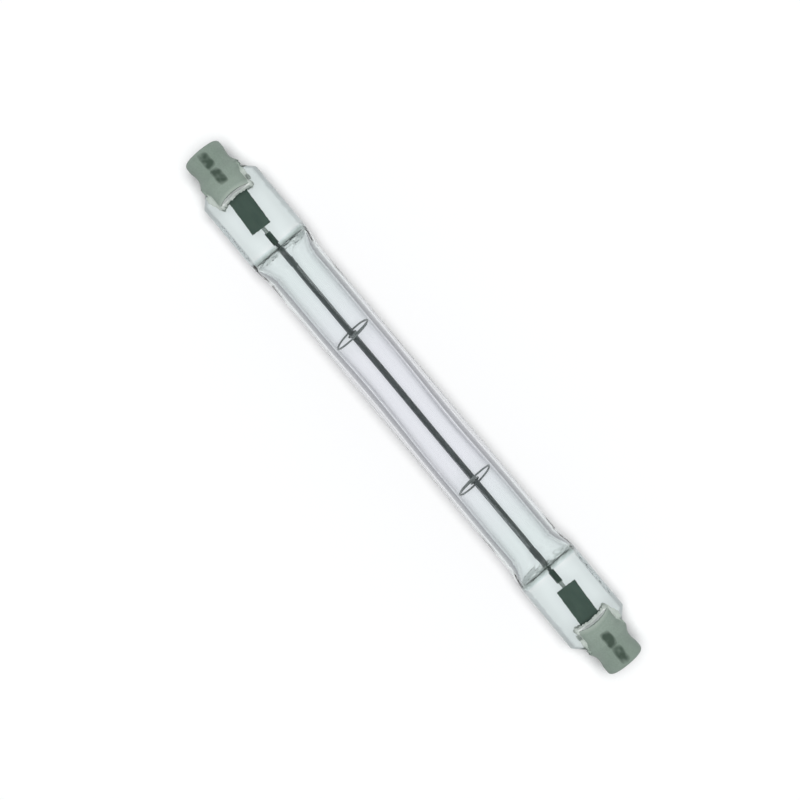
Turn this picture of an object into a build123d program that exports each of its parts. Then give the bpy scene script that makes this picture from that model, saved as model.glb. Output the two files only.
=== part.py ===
from build123d import *
import math
import os

# Linear halogen lamp with a recessed contact at each end.
# It lies along X with its middle at the origin, and Z is about square to the flat seals.
# One end is drawn, at +X. The other is the same end turned half a turn about Z.

# Lamp
overall_length = 117.6
recess_depth = 1.7

# Quartz tube and its flat seals
tube_diameter = 11.1
tube_wall = 1.35
shoulder_length = 5.2
shoulder_diameter = 12.3
shoulder_root_radius = 1.2
shoulder_rise = 0.1
seal_length = 15.5
seal_width = 12.1
seal_thickness = 3.2
seal_edge_radius = 1.2
seal_tip_width = 8.4
seal_tip_length = 0.5
seal_twist = 5.0
bore_setback = 0.9
bore_side_wall = 0.8
bore_end_height = 0.5

# Filament, its leads and its supports
lead_diameter = 0.7
lead_grip = 4.0
lead_bare_length = 1.05
lead_clearance = 0.025
filament_wire = 0.225
filament_setback = 1.1
sleeve_wire = 0.225
sleeve_length = 2.65
sleeve_setback = 0.35
support_spacing = 33.7
support_wire = 0.34
support_clearance = 0.03
support_wall_gap = 0.35
support_hook_turn = 270.0
support_loop_turn = 320.0
support_tilt = 12.0
support_lean = 5.0

# Molybdenum foil
foil_width = 4.0
foil_thickness = 0.04
foil_margin = 2.3
foil_tilt = -3.5
weld_length = 1.5
weld_sink = 0.06

# Ceramic cap
cap_diameter = 7.5
cap_rim_chamfer = 0.5
cap_barrel_length = 1.9
cap_waist_diameter = 7.05
cap_waist_length = 0.7
cap_flange_diameter = 8.6
cap_flange_setback = 0.4
cap_flange_width = 1.2
cap_flange_taper = 1.1
cap_flange_chamfer = 0.15
cap_web = 3.1
cap_jaw_diameter = 7.75
cap_jaw_length = 3.8
jaw_hollow_radius = 12.0
jaw_hollow_slope = 12.0
recess_diameter = 4.2
recess_chamfer = 0.15

# Contact button
contact_head_diameter = 3.6
contact_head_thickness = 0.6
contact_dish = 0.15
contact_shank_diameter = 1.4
contact_shank_length = 1.9
contact_clearance = 0.05

# Cement between cap and seal
cement_gap = 0.2
cement_end_gap = 0.5
cement_bead = 0.35
cement_inset = 0.1

# Places along X, worked inwards from the cap's end
cap_end_x = overall_length / 2
contact_x = cap_end_x - recess_depth
head_back_x = contact_x - contact_head_thickness
slot_floor_x = head_back_x - cap_web
seal_end_x = slot_floor_x - cement_end_gap
crease_x = seal_end_x - seal_length
shoulder_x = crease_x - shoulder_length
bore_end_x = crease_x - bore_setback
filament_end_x = crease_x - filament_setback
sleeve_x = crease_x + sleeve_setback
foil_start_x = sleeve_x + sleeve_length + lead_bare_length
foil_end_x = seal_end_x - foil_margin
shank_end_x = head_back_x - contact_shank_length
jaw_end_x = slot_floor_x - cap_jaw_length
hollow_centre_x = jaw_end_x - jaw_hollow_radius

# Radii and heights
tube_radius = tube_diameter / 2
bore_radius = tube_radius - tube_wall
shoulder_radius = shoulder_diameter / 2
seal_half = seal_thickness / 2
lead_radius = lead_diameter / 2
lead_bore_radius = lead_radius + lead_clearance
filament_radius = lead_bore_radius + filament_wire
sleeve_radius = lead_bore_radius + sleeve_wire
foil_base_z = lead_radius - weld_sink
slot_half = seal_half + cement_gap
cap_radius = cap_diameter / 2
flange_radius = cap_flange_diameter / 2
jaw_radius = cap_jaw_diameter / 2
jaw_half_width = math.sqrt(jaw_radius**2 - slot_half**2)
beyond = shoulder_diameter

# Planes of the seal, which is turned a little about the lamp's axis
turn = math.radians(-seal_twist)
across = Vector(0, math.cos(turn), math.sin(turn))
upward = Vector(0, -math.sin(turn), math.cos(turn))
side_plane = Plane(origin=(0, 0, 0), x_dir=(1, 0, 0), z_dir=-across)


def section_plane(x):
    return Plane(origin=(x, 0, 0), x_dir=across, z_dir=(1, 0, 0))


def plan_plane(height):
    return Plane(origin=upward * height, x_dir=(1, 0, 0), z_dir=upward)


# Glass of one end: half the tube, the pressed shoulder and the flat seal with its narrowed tip
shoulder_drop = tube_radius + shoulder_rise - seal_half
shoulder_angle = 2 * math.degrees(math.atan2(shoulder_drop, shoulder_length))
dome_radius = shoulder_length / math.sin(math.radians(shoulder_angle)) - shoulder_root_radius
tip_chamfer = (seal_width - seal_tip_width) / 2
tip_x = seal_end_x - seal_tip_length

with BuildPart() as glass_half:
    with BuildSketch(Plane.XZ):
        with BuildLine():
            Polyline(
                (0, 0),
                (0, tube_radius),
                (shoulder_x, tube_radius),
                (crease_x, shoulder_radius),
                (crease_x, 0),
                close=True,
            )
        make_face()
    revolve(axis=Axis.X)
    with BuildSketch(side_plane):
        with BuildLine():
            dome = JernArc((shoulder_x, tube_radius + shoulder_rise), (1, 0), dome_radius, -shoulder_angle)
            root = JernArc(dome @ 1, dome % 1, shoulder_root_radius, shoulder_angle)
            Polyline(root @ 1, (crease_x, beyond), (shoulder_x, beyond), dome @ 0)
        make_face()
        mirror(about=Plane.XZ)
    extrude(amount=beyond, both=True, mode=Mode.SUBTRACT)
    with BuildSketch(section_plane(crease_x)):
        RectangleRounded(seal_width, seal_thickness, seal_edge_radius)
    extrude(amount=seal_length)
    with BuildSketch(plan_plane(0)):
        with BuildLine():
            Polyline(
                (tip_x - tip_chamfer, seal_width / 2),
                (tip_x, seal_tip_width / 2),
                (seal_end_x, seal_tip_width / 2),
                (seal_end_x, seal_width / 2),
                close=True,
            )
        make_face()
        mirror(about=Plane.XZ)
    extrude(amount=seal_thickness, both=True, mode=Mode.SUBTRACT)

# Bore of one end, which flattens and spreads as it runs into the seal
bore_slit_half = seal_width / 2 - bore_side_wall
bore_run = bore_end_x - shoulder_x
bore_drop = bore_radius + shoulder_rise - bore_end_height / 2
bore_angle = 2 * math.degrees(math.atan2(bore_drop, bore_run))
bore_dome_radius = bore_run / math.sin(math.radians(bore_angle))

with BuildPart() as bore_half:
    with BuildSketch(Plane.XZ):
        with BuildLine():
            Polyline(
                (0, 0),
                (0, bore_radius),
                (shoulder_x, bore_radius),
                (bore_end_x, bore_slit_half),
                (bore_end_x, 0),
                close=True,
            )
        make_face()
    revolve(axis=Axis.X)
    with BuildSketch(side_plane):
        with BuildLine():
            bore_dome = JernArc((shoulder_x, bore_radius + shoulder_rise), (1, 0), bore_dome_radius, -bore_angle)
            Polyline(bore_dome @ 1, (bore_end_x, beyond), (shoulder_x, beyond), bore_dome @ 0)
        make_face()
        mirror(about=Plane.XZ)
    extrude(amount=beyond, both=True, mode=Mode.SUBTRACT)

# Foil, a thin ribbon lying a little askew in the middle of the seal
with BuildPart() as foil:
    with BuildSketch(plan_plane(foil_base_z)):
        with Locations(((foil_start_x + foil_end_x) / 2, 0)):
            Rectangle(foil_end_x - foil_start_x, foil_width, rotation=foil_tilt)
    extrude(amount=foil_thickness)

# Inner lead: gripped in the filament at one end, flattened where it is welded under the foil
lead_start_x = filament_end_x - lead_grip
inner_weld_x = foil_start_x + weld_length

with BuildPart() as inner_lead:
    with BuildSketch(section_plane(lead_start_x)):
        Circle(lead_radius)
    extrude(amount=inner_weld_x - lead_start_x)
    with BuildSketch(plan_plane(foil_base_z)):
        with Locations((foil_start_x - foil_width / 2, -lead_diameter)):
            Rectangle(weld_length + foil_width, lead_diameter * 2, align=Align.MIN)
    extrude(amount=lead_diameter, mode=Mode.SUBTRACT)

# Sleeve wound on the inner lead inside the seal
with BuildPart() as lead_sleeve:
    with BuildSketch(section_plane(sleeve_x)):
        Circle(sleeve_radius)
        Circle(lead_bore_radius, mode=Mode.SUBTRACT)
    extrude(amount=sleeve_length)

# Outer lead: from the foil, through the cement, to the contact's shank
outer_weld_x = foil_end_x - weld_length

with BuildPart() as outer_lead:
    with BuildSketch(section_plane(outer_weld_x)):
        Circle(lead_radius)
    extrude(amount=shank_end_x - outer_weld_x)
    with BuildSketch(plan_plane(foil_base_z)):
        with Locations((outer_weld_x, -lead_diameter)):
            Rectangle(weld_length + foil_width / 2, lead_diameter * 2, align=Align.MIN)
    extrude(amount=lead_diameter, mode=Mode.SUBTRACT)

# Envelope: both ends, with the bore and the places of the sealed-in metal taken out
with BuildPart() as envelope:
    for half_turn in (0, 180):
        add(glass_half.part, rotation=(0, 0, half_turn))
    for half_turn in (0, 180):
        for hollow in (bore_half, foil, inner_lead, lead_sleeve, outer_lead):
            add(hollow.part, rotation=(0, 0, half_turn), mode=Mode.SUBTRACT)

# Filament: the coil's outer and inner diameters, end to end
with BuildPart() as filament:
    with BuildSketch(Plane.YZ):
        Circle(filament_radius)
        Circle(lead_bore_radius, mode=Mode.SUBTRACT)
    extrude(amount=filament_end_x, both=True)

# Support: a wire hooked on the filament, with a half-round arm out to a loop near the tube's wall
hook_radius = filament_radius + support_clearance + support_wire / 2
loop_radius = bore_radius - support_wall_gap - support_wire / 2
arm_offset = (loop_radius - hook_radius) / 2
support_plane = Plane.YZ.offset(support_spacing / 2).rotated((0, -support_tilt, support_lean))

with BuildPart() as support:
    with BuildLine(support_plane) as support_path:
        CenterArc((0, 0), hook_radius, -support_hook_turn, support_hook_turn)
        CenterArc((-arm_offset, 0), hook_radius + arm_offset, 0, 180)
        CenterArc((0, 0), loop_radius, 180, support_loop_turn)
    with BuildSketch(Plane(origin=support_path.wires()[0] @ 0, z_dir=support_path.wires()[0] % 0)):
        RegularPolygon(support_wire / 2, 6)
    sweep()

# Cap: a turned ceramic body with a recess for the contact, slotted to two hollowed jaws that straddle the seal
flange_x = slot_floor_x + cap_flange_setback
barrel_x = cap_end_x - cap_barrel_length
waist_x = (flange_x + barrel_x) / 2
waist_radius = cap_waist_diameter / 2
hollow_rise = jaw_radius - slot_half
hollow_spread = hollow_rise * math.tan(math.radians(jaw_hollow_slope))

with BuildPart() as cap:
    with BuildSketch(Plane.XZ):
        with BuildLine():
            Polyline(
                (hollow_centre_x, 0),
                (hollow_centre_x, jaw_radius),
                (flange_x - cap_flange_width - cap_flange_taper, jaw_radius),
                (flange_x - cap_flange_width, flange_radius),
                (flange_x, flange_radius),
                (waist_x - cap_waist_length / 2, waist_radius),
                (waist_x + cap_waist_length / 2, waist_radius),
                (barrel_x, cap_radius),
                (cap_end_x, cap_radius),
                (cap_end_x, 0),
                close=True,
            )
        make_face()
    revolve(axis=Axis.X)
    chamfer(cap.faces().sort_by(Axis.X)[-1].edges(), cap_rim_chamfer)
    flange_edges = cap.edges().filter_by(GeomType.CIRCLE).filter_by(lambda edge: abs(edge.radius - flange_radius) < 1e-6)
    chamfer(flange_edges, cap_flange_chamfer)
    with BuildSketch(plan_plane(0)):
        with Locations((hollow_centre_x, 0)):
            Rectangle(slot_floor_x - hollow_centre_x, 2 * beyond, align=(Align.MIN, Align.CENTER))
    extrude(amount=slot_half, both=True, mode=Mode.SUBTRACT)
    for side in (1, -1):
        with BuildSketch(plan_plane(side * slot_half)):
            with Locations((hollow_centre_x, 0)):
                Circle(jaw_hollow_radius)
        extrude(amount=side * hollow_rise * 2, taper=-jaw_hollow_slope, mode=Mode.SUBTRACT)
    with Locations(Plane.YZ.offset(cap_end_x)):
        Hole(recess_diameter / 2, recess_depth)
    chamfer(cap.faces().sort_by(Axis.X)[-1].inner_wires().edges(), recess_chamfer)
    with Locations(Plane.YZ.offset(contact_x)):
        CounterBoreHole(
            contact_shank_diameter / 2 + contact_clearance,
            contact_head_diameter / 2 + contact_clearance,
            contact_head_thickness,
            contact_x - slot_floor_x,
        )

# Contact: a rivet with a dished head
with BuildPart() as contact:
    with BuildSketch(Plane.XZ):
        with BuildLine():
            Polyline(
                (contact_x - contact_dish, 0),
                (shank_end_x, 0),
                (shank_end_x, contact_shank_diameter / 2),
                (head_back_x, contact_shank_diameter / 2),
                (head_back_x, contact_head_diameter / 2),
                (contact_x, contact_head_diameter / 2),
                (contact_x, recess_diameter / 4),
            )
            Line((contact_x, recess_diameter / 4), (contact_x - contact_dish, 0))
        make_face()
    revolve(axis=Axis.X)

# Cement: fills the cap's slot round the seal's tip and shows as a bead along each jaw
with BuildPart() as cement:
    with BuildSketch(plan_plane(0)):
        with Locations((hollow_centre_x, 0)):
            Rectangle(slot_floor_x - hollow_centre_x, 2 * (jaw_half_width - cement_inset), align=(Align.MIN, Align.CENTER))
            Circle(jaw_hollow_radius - cement_bead, mode=Mode.SUBTRACT)
    extrude(amount=slot_half, both=True)
    add(glass_half.part, mode=Mode.SUBTRACT)
    add(outer_lead.part, mode=Mode.SUBTRACT)

# Write every piece, the end's pieces at both ends
os.makedirs("parts", exist_ok=True)
for name, piece in {"envelope": envelope, "filament": filament}.items():
    piece.part.label = name
    export_step(piece.part, f"parts/{name}.step")

end_pieces = {
    "cap": cap,
    "contact": contact,
    "cement": cement,
    "outer_lead": outer_lead,
    "foil": foil,
    "lead_sleeve": lead_sleeve,
    "inner_lead": inner_lead,
    "support": support,
}
for side, half_turn in {"right": 0, "left": 180}.items():
    for name, piece in end_pieces.items():
        with BuildPart() as placed:
            add(piece.part, rotation=(0, 0, half_turn))
        placed.part.label = f"{side}_{name}"
        export_step(placed.part, f"parts/{side}_{name}.step")
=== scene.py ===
import math

import bmesh
import bpy
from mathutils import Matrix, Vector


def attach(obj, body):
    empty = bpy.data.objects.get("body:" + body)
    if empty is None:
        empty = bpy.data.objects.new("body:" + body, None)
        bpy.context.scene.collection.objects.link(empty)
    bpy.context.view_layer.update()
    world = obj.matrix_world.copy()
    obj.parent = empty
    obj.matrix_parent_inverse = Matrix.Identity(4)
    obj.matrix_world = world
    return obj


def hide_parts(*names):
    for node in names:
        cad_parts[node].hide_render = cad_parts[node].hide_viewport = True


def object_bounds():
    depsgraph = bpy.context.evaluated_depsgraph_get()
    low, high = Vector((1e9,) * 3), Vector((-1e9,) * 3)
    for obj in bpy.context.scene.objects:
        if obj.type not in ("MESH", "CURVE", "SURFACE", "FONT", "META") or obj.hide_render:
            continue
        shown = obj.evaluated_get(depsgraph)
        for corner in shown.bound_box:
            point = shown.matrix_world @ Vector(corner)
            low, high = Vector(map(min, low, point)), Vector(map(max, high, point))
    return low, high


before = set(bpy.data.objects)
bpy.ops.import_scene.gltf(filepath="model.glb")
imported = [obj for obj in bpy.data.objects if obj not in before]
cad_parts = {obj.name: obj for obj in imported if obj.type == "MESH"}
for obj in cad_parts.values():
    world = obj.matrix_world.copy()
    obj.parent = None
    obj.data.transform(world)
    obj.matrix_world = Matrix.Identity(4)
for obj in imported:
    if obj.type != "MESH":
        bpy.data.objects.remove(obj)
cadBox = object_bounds()
print("frame loaded:", len(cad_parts), "nodes")


# Small helpers. Every piece is modelled at one unit to the millimetre, and brought to metres at the end.

metresPerUnit = 0.001
mergeDistance = 0.0005
onPlane = 0.001  # a point this near to a plane lies on it
softenFactor = 0.5


def deselect():
    bpy.ops.object.select_all(action="DESELECT")


def makeActive(piece):
    deselect()
    piece.select_set(True)
    bpy.context.view_layer.objects.active = piece


def applyPlace(piece):
    # its place, turn and scale go into its mesh
    makeActive(piece)
    bpy.ops.object.transform_apply(location=True, rotation=True, scale=True)


def rename(piece, name):
    piece.name = name
    piece.data.name = name


def takeNew(name):
    # the primitive that was just added, with its place put in its mesh
    piece = bpy.context.active_object
    rename(piece, name)
    applyPlace(piece)
    return piece


def addBox(name, place, size):
    deselect()
    bpy.ops.mesh.primitive_cube_add(size=1, location=place, scale=size)
    return takeNew(name)


def startEdit(piece):
    makeActive(piece)
    bpy.ops.object.mode_set(mode="EDIT")
    bpy.ops.mesh.select_mode(type="VERT")


def endEdit():
    bpy.ops.object.mode_set(mode="OBJECT")


def selectAll():
    bpy.ops.mesh.select_all(action="SELECT")


def pickPoints(piece, test):
    # selects in edit mode the points that the test takes
    cage = bmesh.from_edit_mesh(piece.data)
    for point in cage.verts:
        point.select_set(bool(test(point)))
    cage.select_flush_mode()
    bmesh.update_edit_mesh(piece.data)


def pick(piece, test):
    # the same, by their place
    pickPoints(piece, lambda point: test(point.co))


def applyModifier(piece, kind, settings):
    makeActive(piece)
    modifier = piece.modifiers.new(kind.lower(), kind)
    for key, value in settings.items():
        setattr(modifier, key, value)
    bpy.ops.object.modifier_apply(modifier=modifier.name)


def remesh(piece, voxel):
    applyModifier(piece, "REMESH", {"mode": "VOXEL", "voxel_size": voxel, "use_smooth_shade": True})


def soften(piece, rounds):
    applyModifier(piece, "SMOOTH", {"factor": softenFactor, "iterations": rounds})


def cutAway(piece, cutter):
    applyModifier(piece, "BOOLEAN", {"operation": "DIFFERENCE", "solver": "EXACT", "object": cutter})
    bpy.data.objects.remove(cutter)


def joinInto(piece, others):
    makeActive(piece)
    for other in others:
        other.select_set(True)
    bpy.ops.object.join()


def closeUp(piece):
    # doubles merged, holes filled, faces turned outwards
    startEdit(piece)
    selectAll()
    bpy.ops.mesh.remove_doubles(threshold=mergeDistance)
    bpy.ops.mesh.fill_holes(sides=0)
    selectAll()
    bpy.ops.mesh.normals_make_consistent(inside=False)
    endEdit()


def mendCuts(piece):
    # points left between only two faces go, and so do folded edges, whose holes are closed
    startEdit(piece)
    pickPoints(piece, lambda point: len(point.link_edges) == 2)
    bpy.ops.mesh.dissolve_verts()
    bpy.ops.mesh.select_all(action="DESELECT")
    bpy.ops.mesh.select_non_manifold()
    bpy.ops.mesh.delete(type="VERT")
    endEdit()
    closeUp(piece)


def settle(piece, angle):
    # smooth shading up to the angle, then millimetres to metres
    makeActive(piece)
    bpy.ops.object.shade_smooth_by_angle(angle=math.radians(angle))
    piece.scale = (metresPerUnit, metresPerUnit, metresPerUnit)
    applyPlace(piece)


def turnSeal(piece):
    # the seals are turned a little about the lamp's axis
    piece.rotation_euler = (math.radians(envelopeSpec["twist"]), 0, 0)
    applyPlace(piece)


def copyToLeft(piece, name):
    # the other end is the same end turned half a turn about Z
    makeActive(piece)
    bpy.ops.object.duplicate(linked=False)
    copy = bpy.context.active_object
    rename(copy, name)
    copy.rotation_euler = (0, 0, math.pi)
    applyPlace(copy)
    return copy


def bothEnds(right, leftName, nodes, angle):
    # finishes the right-hand piece, copies it to the left, and puts both in place of their CAD nodes
    settle(right, angle)
    left = copyToLeft(right, leftName)
    for piece, node in zip((right, left), nodes):
        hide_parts(node)
    return right, left


# Quartz envelope: a drawn tube pressed flat at both ends, hollow up to the flat seals.

envelopeSpec = {
    "sides": 64,
    "tubeRadius": 5.55,
    "boreRadius": 4.2,
    "boreSwell": 0.25,  # the wall is thicker towards the middle
    "boreSway": 0.1,  # and the bore wanders a little from side to side
    "swellReach": 24,
    "swayReach": 17,
    "tubeRings": (0, 4, 8, 12, 16, 20, 24, 28),
    "shoulderX": 32.2,
    "creaseX": 38.2,
    "rootRadius": 1.9,
    "shoulderSteps": 14,
    "rootSteps": 12,
    "sealHalfWidth": 6.05,
    "sealHalfHeight": 1.6,
    "sealCorner": 1.2,
    "tipRings": (  # place, half width, half height and corner of each ring along the seal
        (39.0, 6.05, 1.6, 1.2),
        (44.0, 6.05, 1.6, 1.2),
        (50.3, 6.05, 1.6, 1.2),
        (50.6, 5.98, 1.6, 1.2),
        (52.3, 4.30, 1.6, 1.2),
        (52.5, 4.20, 1.6, 1.2),
        (52.75, 4.20, 1.6, 1.2),
        (52.87, 4.12, 1.52, 1.12),
        (52.9, 4.00, 1.40, 1.0),
    ),
    "boreShoulderX": 32.0,
    "boreEndX": 37.7,
    "boreRoot": 1.5,
    "slitHalfWidth": 5.25,
    "slitHalfHeight": 0.15,
    "slitCorner": 0.12,
    "cornerFall": 1.5,
    "twist": -5.0,
    "twistFrom": 31.0,
    "smoothAngle": 40,
}


def pressedLine(startX, startHeight, endX, endHeight, rootRadius):
    # side view of a pressed shoulder: a dome that falls away, and a hollow arc at its foot
    steps, rootSteps = envelopeSpec["shoulderSteps"], envelopeSpec["rootSteps"]
    angle = 2 * math.atan2(startHeight - endHeight, endX - startX)
    domeRadius = (endX - startX) / math.sin(angle) - rootRadius
    line = []
    for step in range(steps + 1):
        turn = angle * step / steps
        line.append((startX + domeRadius * math.sin(turn), startHeight - domeRadius * (1 - math.cos(turn))))
    for step in range(1, rootSteps + 1):
        turn = angle * (1 - step / rootSteps)
        line.append((endX - rootRadius * math.sin(turn), endHeight + rootRadius * (1 - math.cos(turn))))
    return line


def shoulderRings(line, startRadius, endWidth, endHeight, endCorner):
    # each ring: its place, half its width, half its height and its corner's radius
    rings = []
    startX, endX = line[0][0], line[-1][0]
    for x, height in line:
        along = (x - startX) / (endX - startX)
        swell = along * along * (3 - 2 * along)  # smooth at both ends
        width = startRadius + (endWidth - startRadius) * swell
        share = max(0, (height - endHeight) / (startRadius - endHeight))
        corner = endCorner + (startRadius - endCorner) * share ** envelopeSpec["cornerFall"]
        rings.append((x, width, height, min(corner, height)))
    return rings


def ringedShell(name, radius, rings):
    # a round ring is extruded from place to place, then each ring is pulled to its own section
    sides = envelopeSpec["sides"]
    deselect()
    bpy.ops.mesh.primitive_circle_add(vertices=sides, radius=radius, rotation=(0, math.pi / 2, 0))
    shell = takeNew(name)
    startEdit(shell)
    selectAll()
    bpy.ops.transform.rotate(value=math.pi / sides, orient_axis="X", center_override=(0, 0, 0))
    lastX = 0
    for x in [ring[0] for ring in rings]:
        if x > lastX:
            bpy.ops.mesh.extrude_region_move(TRANSFORM_OT_translate={"value": (x - lastX, 0, 0)})
            lastX = x
    bpy.ops.mesh.edge_face_add()
    for x, width, height, corner in rings:
        if corner > radius - onPlane:
            continue
        pick(shell, lambda co: abs(co.x - x) < onPlane)
        shrink = corner / radius
        bpy.ops.transform.resize(value=(1, shrink, shrink), center_override=(x, 0, 0))
        for side in (1, -1):
            pick(shell, lambda co: abs(co.x - x) < onPlane and co.y * side > 0)
            bpy.ops.transform.translate(value=(0, side * (width - corner), 0))
            pick(shell, lambda co: abs(co.x - x) < onPlane and co.z * side > 0)
            bpy.ops.transform.translate(value=(0, 0, side * (height - corner)))
    for cut in ((0, 1, 0), (0, 0, 1)):  # an edge along the middle of each side keeps the flats true
        selectAll()
        bpy.ops.mesh.bisect(plane_co=(0, 0, 0), plane_no=cut)
    pick(shell, lambda co: co.x > envelopeSpec["twistFrom"])
    twist = math.radians(envelopeSpec["twist"])
    bpy.ops.transform.rotate(value=-twist, orient_axis="X", center_override=(0, 0, 0))
    selectAll()
    bpy.ops.mesh.duplicate()
    bpy.ops.transform.rotate(value=math.pi, orient_axis="Z", center_override=(0, 0, 0))
    endEdit()
    closeUp(shell)
    return shell


def buildEnvelope():
    spec = envelopeSpec
    tube, bore = spec["tubeRadius"], spec["boreRadius"]
    sealHalf, slitHalf = spec["sealHalfHeight"], spec["slitHalfHeight"]
    outerLine = pressedLine(spec["shoulderX"], tube, spec["creaseX"], sealHalf, spec["rootRadius"])
    rings = [(x, tube, tube, tube) for x in spec["tubeRings"]]
    rings += shoulderRings(outerLine, tube, spec["sealHalfWidth"], sealHalf, spec["sealCorner"])
    rings += spec["tipRings"]
    glass = ringedShell("quartzEnvelope", tube, rings)

    boreLine = pressedLine(spec["boreShoulderX"], bore, spec["boreEndX"], slitHalf, spec["boreRoot"])
    rings = []
    for x in spec["tubeRings"]:
        swell = (1 + math.cos(math.pi * min(1, x / spec["swellReach"]))) / 2
        narrowed = bore - spec["boreSwell"] * swell
        rings.append((x, narrowed, narrowed, narrowed))
    rings += shoulderRings(boreLine, bore, spec["slitHalfWidth"], slitHalf, spec["slitCorner"])
    hollow = ringedShell("quartzBore", bore, rings)
    startEdit(hollow)
    for x in spec["tubeRings"]:
        if 0 < x < spec["swayReach"]:
            sway = spec["boreSway"] * math.sin(math.pi * x / spec["swayReach"])
            for side in (1, -1):
                pick(hollow, lambda co: abs(co.x - side * x) < onPlane)
                bpy.ops.transform.translate(value=(0, -side * sway, 0))
    selectAll()
    bpy.ops.mesh.flip_normals()
    endEdit()

    joinInto(glass, [hollow])
    settle(glass, spec["smoothAngle"])
    applyModifier(glass, "WEIGHTED_NORMAL", {"keep_sharp": True})
    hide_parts("envelope")
    return glass


envelope = buildEnvelope()
print("envelope:", len(envelope.data.polygons), "faces")


# Tungsten filament and the sleeves: close-wound wire.

coilSpecs = {
    "filament": {
        "start": -36.19, "end": 36.19, "meanRadius": 0.495, "wireRadius": 0.1, "pitch": 0.212,
        "wireSides": 6, "turnSteps": 14, "smoothAngle": 60,
    },
    "sleeve": {
        "start": 37.6, "end": 40.28, "meanRadius": 0.485, "wireRadius": 0.11, "pitch": 0.232,
        "wireSides": 10, "turnSteps": 32, "smoothAngle": 60,
    },
}


def windCoil(name, spec):
    deselect()
    bpy.ops.mesh.primitive_circle_add(
        vertices=spec["wireSides"],
        radius=spec["wireRadius"],
        location=(spec["start"], spec["meanRadius"], 0),
    )
    coil = takeNew(name)
    length = spec["end"] - spec["start"]
    turns = round(length / spec["pitch"])
    applyModifier(coil, "SCREW", {
        "axis": "X",
        "iterations": turns,
        "screw_offset": length / turns,
        "steps": spec["turnSteps"],
        "render_steps": spec["turnSteps"],
        "use_merge_vertices": False,
    })
    closeUp(coil)
    return coil


filament = windCoil("filamentCoil", coilSpecs["filament"])
settle(filament, coilSpecs["filament"]["smoothAngle"])
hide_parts("filament")

rightSleeve, leftSleeve = bothEnds(
    windCoil("rightLeadSleeve", coilSpecs["sleeve"]),
    "leftLeadSleeve",
    ("right_lead_sleeve", "left_lead_sleeve"),
    coilSpecs["sleeve"]["smoothAngle"],
)
print("coils:", len(filament.data.polygons), "and", len(rightSleeve.data.polygons), "faces")


# Filament supports: one bent wire each, a hook on the coil, a half-round arm and an open loop.

supportSpec = {
    "x": 16.85,
    "wireRadius": 0.17,
    "wireSides": 10,
    "hookRadius": 0.8,
    "hookTurn": 270,
    "armTurn": 180,
    "loopRadius": 3.68,
    "loopTurn": 320,
    "stepDegrees": 6,
    "tilt": -12,
    "lean": 5,
    "smoothAngle": 50,
}


def bendSupport(name):
    spec = supportSpec
    deselect()
    bpy.ops.mesh.primitive_circle_add(
        vertices=spec["wireSides"],
        radius=spec["wireRadius"],
        location=(0, 0, spec["hookRadius"]),
        rotation=(math.pi / 2, 0, 0),
    )
    wire = takeNew(name)
    armCentre = (spec["hookRadius"] - spec["loopRadius"]) / 2
    bends = ((0, spec["hookTurn"]), (armCentre, spec["armTurn"]), (0, spec["loopTurn"]))
    startEdit(wire)
    selectAll()
    for centre, turn in bends:
        bpy.ops.mesh.spin(
            steps=round(turn / spec["stepDegrees"]),
            angle=math.radians(turn),
            center=(0, centre, 0),
            axis=(-1, 0, 0),  # spin turns clockwise about its axis
        )
    endEdit()
    closeUp(wire)
    wire.rotation_euler = (0, math.radians(spec["tilt"]), math.radians(spec["lean"]))
    wire.location = (spec["x"], 0, 0)
    applyPlace(wire)
    return wire


rightSupport, leftSupport = bothEnds(
    bendSupport("rightSupport"),
    "leftSupport",
    ("right_support", "left_support"),
    supportSpec["smoothAngle"],
)
print("supports:", len(rightSupport.data.polygons), "faces each")


# Molybdenum foils: a thin rolled ribbon with etched, uneven edges.

foilSpec = {
    "startX": 41.45,
    "endX": 50.6,
    "width": 3.96,
    "top": 0.328,
    "thickness": 0.036,
    "tilt": -3.5,
    "cellsAlong": 42,
    "cellsAcross": 20,
    "edgeWander": 0.05,
    "edgeSeed": 4,
    "crinkle": 0.012,
    "crinkleSeed": 9,
    "crinkleRounds": 2,
    "flatten": 0.5,
    "smoothAngle": 40,
}


def rollFoil(name):
    spec = foilSpec
    length, width = spec["endX"] - spec["startX"], spec["width"]
    deselect()
    bpy.ops.mesh.primitive_grid_add(
        x_subdivisions=spec["cellsAlong"],
        y_subdivisions=spec["cellsAcross"],
        size=1,
    )
    ribbon = takeNew(name)
    startEdit(ribbon)
    selectAll()
    bpy.ops.transform.resize(value=(length, width, 1), center_override=(0, 0, 0))
    pick(ribbon, lambda co: abs(co.x) > length / 2 - onPlane or abs(co.y) > width / 2 - onPlane)
    bpy.ops.transform.vertex_random(offset=spec["edgeWander"], uniform=1, normal=0, seed=spec["edgeSeed"])
    selectAll()
    bpy.ops.transform.vertex_random(offset=spec["crinkle"], uniform=0, normal=1, seed=spec["crinkleSeed"])
    bpy.ops.mesh.vertices_smooth(
        factor=softenFactor,
        repeat=spec["crinkleRounds"],
        xaxis=False,
        yaxis=False,
        zaxis=True,
    )
    bpy.ops.transform.resize(value=(1, 1, spec["flatten"]), center_override=(0, 0, 0))
    endEdit()
    applyModifier(ribbon, "SOLIDIFY", {"thickness": spec["thickness"], "offset": -1})
    ribbon.rotation_euler = (0, 0, math.radians(spec["tilt"]))
    ribbon.location = ((spec["startX"] + spec["endX"]) / 2, 0, spec["top"])
    applyPlace(ribbon)
    turnSeal(ribbon)
    return ribbon


rightFoil, leftFoil = bothEnds(
    rollFoil("rightFoil"),
    "leftFoil",
    ("right_foil", "left_foil"),
    foilSpec["smoothAngle"],
)
print("foils:", len(rightFoil.data.polygons), "faces each")


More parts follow.
